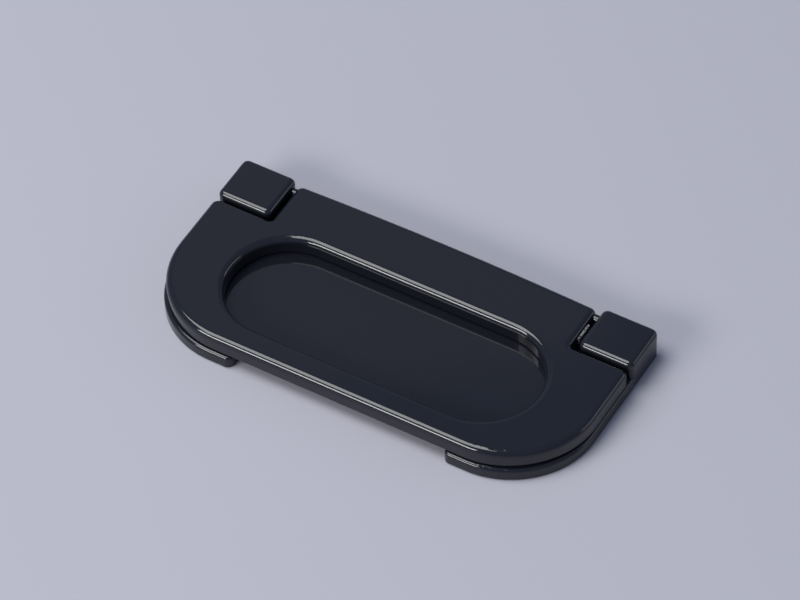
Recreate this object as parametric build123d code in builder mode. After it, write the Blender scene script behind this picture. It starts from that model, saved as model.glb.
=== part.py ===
from build123d import *
import os

# Flip-up pull handle: a hinged pull plate that lies over an adhesive-mounted base plate.
# Millimetres. +X runs along the hinge, -Y is the free front edge that lifts, +Z is up.
# The origin is the middle of the footprint, on the surface that the handle is stuck to.

os.makedirs("parts", exist_ok=True)

# Base plate
base_width = 68.2
base_depth = 32.2
base_thickness = 1.8
base_corner_radius = 13.2
base_back_radius = 1.0
base_edge_radius = 0.5

# Adhesive pad, let into the underside of the base plate
pad_stand_off = 0.2
pad_recess_depth = 0.3
pad_margin = 1.5
pad_side_clearance = 0.2
pad_corner_radius = 0.8

# Finger notch in the front edge of the base plate, between two straight shoulders
notch_shoulder = 3.65
notch_depth = 3.6
notch_mouth_radius = 1.0
notch_root_radius = 1.6

# Hinge blocks at the back corners of the base plate
block_width = 8.8
block_depth = 8.0
block_rise = 0.35
block_corner_radius = 1.0
block_edge_radius = 0.85

# Pull plate
plate_side_inset = 0.1
plate_thickness = 2.5
plate_front_setback = 0.45
plate_corner_radius = 13.7
plate_back_radius = 1.1
plate_root_radius = 0.5
plate_edge_radius = 1.0
heel_crown = 0.45
end_float = 0.1

# Finger opening through the pull plate
opening_side_rail = 9.1
opening_width = 18.0
opening_front_rail = 4.3

# Clearances round the pull plate
under_gap = 0.35
side_gap = 0.7
front_gap = 0.45

# Hinge: stub trunnions of the pull plate in blind bores of the blocks
hinge_inset = 1.45
heel_clearance = 0.1
trunnion_radius = 0.65
trunnion_engagement = 1.3
trunnion_root = 1.5
trunnion_chamfer = 0.2
bore_clearance = 0.05
bore_end_clearance = 0.4

# Rest studs that hold the closed pull plate level
stud_radius = 1.0
stud_inset = 5.0
stud_from_front = 15.0

# Trimmed moulding gate on the right notch wall of the pull plate
gate_length = 3.0
gate_height = 0.95
gate_proud = 0.25
gate_root = 0.5
gate_from_back = 4.9
gate_drop = 0.6

# Levels
base_top = pad_stand_off + base_thickness
plate_bottom = base_top + under_gap
plate_top = plate_bottom + plate_thickness
block_top = plate_top + block_rise
hinge_z = plate_bottom + plate_thickness / 2
heel_reach = hinge_z - base_top - heel_clearance

# Lines across the depth
back_y = base_depth / 2
front_y = -base_depth / 2
notch_end_y = front_y + notch_depth
plate_front_y = front_y + plate_front_setback
plate_notch_y = back_y - block_depth - front_gap
heel_end_y = back_y - heel_crown
hinge_y = back_y - hinge_inset
opening_y = plate_front_y + opening_front_rail + opening_width / 2

# Lines across the width; the pull plate has floated to the left end of its play
plate_x = -end_float
notch_width = base_width - 2 * (base_corner_radius + notch_shoulder)
plate_width = base_width - 2 * plate_side_inset
opening_length = plate_width - 2 * opening_side_rail
block_inner_x = base_width / 2 - block_width
block_x = block_inner_x + block_width / 2
heel_half_width = block_inner_x - side_gap
stud_x = base_width / 2 - stud_inset

# Footprint of the base plate: round front corners and the finger notch
with BuildSketch() as footprint:
    Rectangle(base_width, base_depth)
    fillet(footprint.vertices().group_by(Axis.Y)[0], base_corner_radius)
    fillet(footprint.vertices().group_by(Axis.Y)[-1], base_back_radius)
    with Locations((0, front_y)):
        Rectangle(notch_width, 2 * notch_depth, mode=Mode.SUBTRACT)
    fillet(footprint.vertices().group_by(Axis.Y)[0].sort_by(Axis.X)[1:-1], notch_mouth_radius)
    notch_end = footprint.vertices().filter_by_position(Axis.Y, notch_end_y, notch_end_y)
    fillet(notch_end, notch_root_radius)

# Recess for the pad, and the pad's own outline inside it
with BuildSketch() as recess_outline:
    add(footprint.sketch)
    offset(amount=-pad_margin, kind=Kind.INTERSECTION)
    fillet(recess_outline.vertices().group_by(Axis.Y)[-1], pad_corner_radius)

with BuildSketch() as pad_outline:
    add(recess_outline.sketch)
    offset(amount=-pad_side_clearance, kind=Kind.INTERSECTION)

# Base plate and its two hinge blocks, moulded as one piece
with BuildPart() as base_plate:
    with BuildSketch(Plane.XY.offset(pad_stand_off)):
        add(footprint.sketch)
    extrude(amount=base_thickness)
    fillet(base_plate.faces().sort_by(Axis.Z)[-1].edges(), base_edge_radius)

    with BuildSketch(Plane.XY.offset(pad_stand_off)) as block_outlines:
        with Locations((-block_x, back_y - block_depth / 2), (block_x, back_y - block_depth / 2)):
            Rectangle(block_width, block_depth)
        fillet(block_outlines.vertices(), block_corner_radius)
    extrude(amount=block_top - pad_stand_off)
    fillet(base_plate.faces().filter_by(Axis.Z).group_by(Axis.Z)[-1].edges(), block_edge_radius)

    with BuildSketch(Plane.XY.offset(base_top)):
        with Locations((-stud_x, front_y + stud_from_front), (stud_x, front_y + stud_from_front)):
            Circle(stud_radius)
    extrude(amount=under_gap)

    with BuildSketch(Plane.XY.offset(pad_stand_off)):
        add(recess_outline.sketch)
    extrude(amount=pad_recess_depth, mode=Mode.SUBTRACT)

    # Blind bores, drilled outwards from the inner faces of the blocks
    for side in (-1, 1):
        with Locations(Plane(origin=(side * block_inner_x, hinge_y, hinge_z), z_dir=(-side, 0, 0))):
            Hole(trunnion_radius + bore_clearance, depth=trunnion_engagement + bore_end_clearance)
base_plate.part.label = "base_plate"

# Adhesive pad that fills the recess and stands proud of it
with BuildPart() as adhesive_pad:
    with BuildSketch():
        add(pad_outline.sketch)
    extrude(amount=pad_stand_off + pad_recess_depth)
adhesive_pad.part.label = "adhesive_pad"

# Pull plate: wings in front of the blocks, and a crowned heel between them
with BuildPart() as pull_plate:
    with BuildSketch(Plane.XY.offset(plate_bottom)) as plate_outline:
        with BuildLine():
            Polyline(
                (plate_x - heel_half_width, heel_end_y),
                (plate_x - heel_half_width, plate_notch_y),
                (plate_x - plate_width / 2, plate_notch_y),
                (plate_x - plate_width / 2, plate_front_y),
                (plate_x + plate_width / 2, plate_front_y),
                (plate_x + plate_width / 2, plate_notch_y),
                (plate_x + heel_half_width, plate_notch_y),
                (plate_x + heel_half_width, heel_end_y),
            )
            ThreePointArc(
                (plate_x + heel_half_width, heel_end_y),
                (plate_x, back_y),
                (plate_x - heel_half_width, heel_end_y),
            )
        make_face()
        # Front corners, outer corners of the wings, notch roots between them, and ends of the heel
        fillet(plate_outline.vertices().group_by(Axis.Y)[0], plate_corner_radius)
        wing_row = plate_outline.vertices().group_by(Axis.Y)[-2].sort_by(Axis.X)
        fillet([wing_row[0], wing_row[-1]], plate_back_radius)
        root_row = plate_outline.vertices().group_by(Axis.Y)[-2].sort_by(Axis.X)
        fillet(root_row[1:-1], plate_root_radius)
        fillet(plate_outline.vertices().group_by(Axis.Y)[-1], plate_back_radius)
        with Locations((plate_x, opening_y)):
            SlotOverall(opening_length, opening_width, mode=Mode.SUBTRACT)
    extrude(amount=plate_thickness)
    fillet(pull_plate.faces().sort_by(Axis.Z)[-1].edges(), plate_edge_radius)

    # The lower back of the heel is rounded about the hinge, so that it clears the base as it turns
    with BuildSketch(Plane.YZ.offset(plate_x - heel_half_width)):
        with Locations((hinge_y, hinge_z)):
            Rectangle(plate_thickness, plate_thickness, align=(Align.MIN, Align.MAX))
            Circle(heel_reach, mode=Mode.SUBTRACT)
    extrude(amount=2 * heel_half_width, mode=Mode.SUBTRACT)

    # Stub trunnions, rooted inside the rounded corners of the heel
    for side in (-1, 1):
        root_x = plate_x + side * (heel_half_width - trunnion_root)
        with BuildSketch(Plane(origin=(root_x, hinge_y, hinge_z), z_dir=(side, 0, 0))):
            Circle(trunnion_radius)
        extrude(amount=trunnion_root + side_gap + trunnion_engagement)
        tip = pull_plate.faces(Select.LAST).sort_by(Axis((0, 0, 0), (side, 0, 0)))[-1]
        chamfer(tip.edges(), trunnion_chamfer)

    # Gate stub
    with BuildSketch(Plane.XY.offset(plate_top - gate_drop)):
        gate_x = plate_x + heel_half_width + (gate_proud - gate_root) / 2
        with Locations((gate_x, back_y - gate_from_back)):
            Rectangle(gate_root + gate_proud, gate_length)
    extrude(amount=-gate_height)
pull_plate.part.label = "pull_plate"

for piece in (base_plate, adhesive_pad, pull_plate):
    export_step(piece.part, f"parts/{piece.part.label}.step")
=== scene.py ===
import math

import bpy
from mathutils import Matrix, Vector


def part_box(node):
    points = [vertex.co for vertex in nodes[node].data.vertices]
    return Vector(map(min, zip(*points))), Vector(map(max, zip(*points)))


# Looks of the flip-up pull handle: two glossy black mouldings and a foam pad, on a pale floor.
# Metres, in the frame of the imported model.

MM = 0.001

# Camera: a long lens from the front right, above the handle
CAMERA_AZIMUTH = math.radians(31.71)
CAMERA_ELEVATION = math.radians(48.54)
CAMERA_ROLL = math.radians(-1.93)
CAMERA_DISTANCE = 817.9 * MM
CAMERA_LENS = 258.0
CAMERA_SENSOR = 36.0
CAMERA_CLIP_START = 0.01
CAMERA_TARGET = Vector((-2.99 * MM, 6.96 * MM, 0.0))

# Studio
FLOOR_SIZE = 3.0
FLOOR_COLOR = (0.409, 0.405, 0.445, 1.0)
FLOOR_ROUGHNESS = 0.8
WORLD_COLOR = (0.56, 0.67, 1.0, 1.0)
WORLD_STRENGTH = 0.32

# Each lamp: the direction it stands in, its distance, width, height and radiance
LAMPS = {
    "overhead_softbox": ((-0.35, -0.15, 0.92), 1.0, 0.62, 0.62, 6.2),
    "front_strip": ((-0.35, -0.79, 0.44), 1.0, 0.60, 0.24, 14.0),
    "right_card": ((0.77, 0.56, 0.30), 1.0, 0.70, 0.25, 1.2),
    "left_glow": ((-0.49, 0.62, 0.66), 0.35, 0.14, 0.14, 0.12),
}

# Moulded black plastic
PLASTIC_COLOR = (0.0085, 0.0095, 0.0135, 1.0)
PLASTIC_ROUGHNESS = (0.07, 0.11)
PLASTIC_IOR = 1.50
GRAIN_SIZE = 0.35 * MM
GRAIN_DEPTH = 0.0006 * MM
WAVE_SIZE = 7.0 * MM
WAVE_DEPTH = 0.012 * MM
WAVE_RANGE = (0.3, 0.7)
SPECK_SIZE = 0.55 * MM
SPECK_RANGE = (0.055, 0.025)
SPECK_STRENGTH = (0.0, 0.04)
DUST_COLOR = (0.30, 0.30, 0.32, 1.0)

# Trimmed gate, as a place on the right notch wall of the pull plate
GATE_FROM_BACK = 4.9 * MM
GATE_LENGTH = 3.0 * MM
GATE_PROUD = 0.25 * MM
GATE_SLACK = 0.01 * MM
GATE_COLOR = (0.075, 0.075, 0.080, 1.0)
GATE_WHITENED = (0.24, 0.24, 0.25, 1.0)
GATE_ROUGHNESS = 0.75
TEAR_SIZE = 0.22 * MM
TEAR_DEPTH = 0.10 * MM
TEAR_RANGE = (0.4, 0.6)

# Foam pad
FOAM_COLOR = (0.030, 0.030, 0.032, 1.0)
FOAM_LIGHT = (0.045, 0.045, 0.048, 1.0)
FOAM_DARK = (0.018, 0.018, 0.020, 1.0)
FOAM_ROUGHNESS = 0.9
FOAM_CELL = 0.28 * MM
FOAM_CELL_DEPTH = 0.08 * MM


def new_material(name, color):
    """A Principled material, its node tree and its shader."""
    material = bpy.data.materials.new(name)
    material.use_nodes = True
    material.diffuse_color = color
    shader = material.node_tree.nodes["Principled BSDF"]
    shader.inputs["Base Color"].default_value = color
    return material, material.node_tree, shader


def object_position(tree):
    """Position on the object, which sits at the frame's origin."""
    return tree.nodes.new("ShaderNodeTexCoord").outputs["Object"]


def noise(tree, size, detail=2.0):
    """Noise whose features are about as large as size."""
    node = tree.nodes.new("ShaderNodeTexNoise")
    node.inputs["Scale"].default_value = 1.0 / size
    node.inputs["Detail"].default_value = detail
    tree.links.new(object_position(tree), node.inputs["Vector"])
    return node.outputs["Fac"]


def cells(tree, size):
    """Distance to the nearest of scattered points that lie about size apart."""
    node = tree.nodes.new("ShaderNodeTexVoronoi")
    node.inputs["Scale"].default_value = 1.0 / size
    tree.links.new(object_position(tree), node.inputs["Vector"])
    return node.outputs["Distance"]


def remap(tree, value, source, target):
    """value moved from the source range to the target range."""
    node = tree.nodes.new("ShaderNodeMapRange")
    node.inputs["From Min"].default_value = source[0]
    node.inputs["From Max"].default_value = source[1]
    node.inputs["To Min"].default_value = target[0]
    node.inputs["To Max"].default_value = target[1]
    tree.links.new(value, node.inputs["Value"])
    return node.outputs["Result"]


def bump(tree, height, distance, below=None):
    """Bump of that depth, laid over the bump below it."""
    node = tree.nodes.new("ShaderNodeBump")
    node.inputs["Distance"].default_value = distance
    tree.links.new(height, node.inputs["Height"])
    if below is not None:
        tree.links.new(below, node.inputs["Normal"])
    return node.outputs["Normal"]


def blend_base_color(tree, shader, factor, first, second):
    """Base colour that runs from first to second as factor runs from 0 to 1."""
    mix = tree.nodes.new("ShaderNodeMix")
    mix.data_type = "RGBA"
    mix.inputs["A"].default_value = first
    mix.inputs["B"].default_value = second
    tree.links.new(factor, mix.inputs["Factor"])
    tree.links.new(mix.outputs["Result"], shader.inputs["Base Color"])


def black_plastic():
    """Glossy black moulding: slow sink waves, a fine mould grain, and a little settled dust."""
    material, tree, shader = new_material("black_plastic", PLASTIC_COLOR)
    shader.inputs["IOR"].default_value = PLASTIC_IOR
    grain = noise(tree, GRAIN_SIZE, detail=3.0)
    wave = noise(tree, WAVE_SIZE)
    roughness = remap(tree, wave, WAVE_RANGE, PLASTIC_ROUGHNESS)
    tree.links.new(roughness, shader.inputs["Roughness"])
    normal = bump(tree, wave, WAVE_DEPTH)
    normal = bump(tree, grain, GRAIN_DEPTH, below=normal)
    tree.links.new(normal, shader.inputs["Normal"])
    dust = remap(tree, cells(tree, SPECK_SIZE), SPECK_RANGE, SPECK_STRENGTH)
    blend_base_color(tree, shader, dust, PLASTIC_COLOR, DUST_COLOR)
    return material


def trimmed_gate():
    """Torn plastic where the moulding gate was cut off: rough and whitened."""
    material, tree, shader = new_material("trimmed_gate", GATE_COLOR)
    shader.inputs["Roughness"].default_value = GATE_ROUGHNESS
    tear = noise(tree, TEAR_SIZE, detail=5.0)
    whitening = remap(tree, tear, TEAR_RANGE, (0.0, 1.0))
    blend_base_color(tree, shader, whitening, PLASTIC_COLOR, GATE_WHITENED)
    tree.links.new(bump(tree, tear, TEAR_DEPTH), shader.inputs["Normal"])
    return material


def foam():
    """Closed-cell foam tape: matte, with fine round cells."""
    material, tree, shader = new_material("foam", FOAM_COLOR)
    shader.inputs["Roughness"].default_value = FOAM_ROUGHNESS
    pattern = cells(tree, FOAM_CELL)
    tree.links.new(bump(tree, pattern, FOAM_CELL_DEPTH), shader.inputs["Normal"])
    blend_base_color(tree, shader, pattern, FOAM_LIGHT, FOAM_DARK)
    return material


def floor_material():
    """Plain matte surface under the handle."""
    material, _, shader = new_material("pale_floor", FLOOR_COLOR)
    shader.inputs["Roughness"].default_value = FLOOR_ROUGHNESS
    return material


def dress(node, material):
    """Gives a CAD node its material."""
    node.data.materials.clear()
    node.data.materials.append(material)


def dress_gate(node, material):
    """Gives the gate stub on the right notch wall its own material."""
    _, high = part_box("pull_plate")
    centre_y = high.y - GATE_FROM_BACK
    reach = GATE_LENGTH / 2 + GATE_SLACK
    stub_x = max(vertex.co.x for vertex in node.data.vertices if abs(vertex.co.y - centre_y) < reach)
    node.data.materials.append(material)
    for face in node.data.polygons:
        inside = abs(face.center.y - centre_y) < reach
        # The slack is taken off here, so that the wall behind the stub stays plain
        if inside and abs(face.center.x - stub_x) < GATE_PROUD - GATE_SLACK:
            face.material_index = 1


def add_floor():
    half = FLOOR_SIZE / 2
    mesh = bpy.data.meshes.new("floor")
    corners = [(-half, -half, 0), (half, -half, 0), (half, half, 0), (-half, half, 0)]
    mesh.from_pydata(corners, [], [(0, 1, 2, 3)])
    mesh.materials.append(floor_material())
    floor = bpy.data.objects.new("floor", mesh)
    bpy.context.scene.collection.objects.link(floor)


def add_lamp(name, direction, distance, width, height, radiance):
    """A soft rectangular lamp that faces the handle.

    Radiance is in watts per square metre and steradian.
    """
    direction = Vector(direction).normalized()
    lamp = bpy.data.lights.new(name, "AREA")
    lamp.shape = "RECTANGLE"
    lamp.size = width
    lamp.size_y = height
    lamp.energy = radiance * math.pi * width * height
    holder = bpy.data.objects.new(name, lamp)
    holder.location = direction * distance
    holder.rotation_euler = direction.to_track_quat("Z", "Y").to_euler()
    bpy.context.scene.collection.objects.link(holder)


def add_world():
    world = bpy.data.worlds.new("studio")
    world.use_nodes = True
    background = world.node_tree.nodes["Background"]
    background.inputs["Color"].default_value = WORLD_COLOR
    background.inputs["Strength"].default_value = WORLD_STRENGTH
    bpy.context.scene.world = world


def add_camera():
    back = Vector((
        math.sin(CAMERA_AZIMUTH) * math.cos(CAMERA_ELEVATION),
        -math.cos(CAMERA_AZIMUTH) * math.cos(CAMERA_ELEVATION),
        math.sin(CAMERA_ELEVATION),
    ))
    level = Vector((math.cos(CAMERA_AZIMUTH), math.sin(CAMERA_AZIMUTH), 0.0))
    upright = back.cross(level)
    right = math.cos(CAMERA_ROLL) * level + math.sin(CAMERA_ROLL) * upright
    up = back.cross(right)
    camera = bpy.data.objects.new("camera", bpy.data.cameras.new("camera"))
    camera.data.sensor_fit = "HORIZONTAL"
    camera.data.sensor_width = CAMERA_SENSOR
    camera.data.lens = CAMERA_LENS
    camera.data.clip_start = CAMERA_CLIP_START
    camera.matrix_world = Matrix.LocRotScale(
        CAMERA_TARGET + back * CAMERA_DISTANCE,
        Matrix((right, up, back)).transposed(),
        None,
    )
    bpy.context.scene.collection.objects.link(camera)
    bpy.context.scene.camera = camera


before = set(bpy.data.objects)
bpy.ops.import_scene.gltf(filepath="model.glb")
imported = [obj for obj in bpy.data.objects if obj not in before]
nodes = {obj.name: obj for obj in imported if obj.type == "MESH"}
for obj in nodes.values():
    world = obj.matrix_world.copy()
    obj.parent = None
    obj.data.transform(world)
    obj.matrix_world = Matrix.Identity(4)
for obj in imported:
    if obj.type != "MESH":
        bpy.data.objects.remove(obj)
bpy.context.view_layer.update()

plastic = black_plastic()
dress(nodes["base_plate"], plastic)
dress(nodes["pull_plate"], plastic)
dress_gate(nodes["pull_plate"], trimmed_gate())
dress(nodes["adhesive_pad"], foam())

add_floor()
add_world()
for lamp_name, lamp_values in LAMPS.items():
    add_lamp(lamp_name, *lamp_values)
add_camera()
bpy.context.scene.view_settings.view_transform = "Standard"
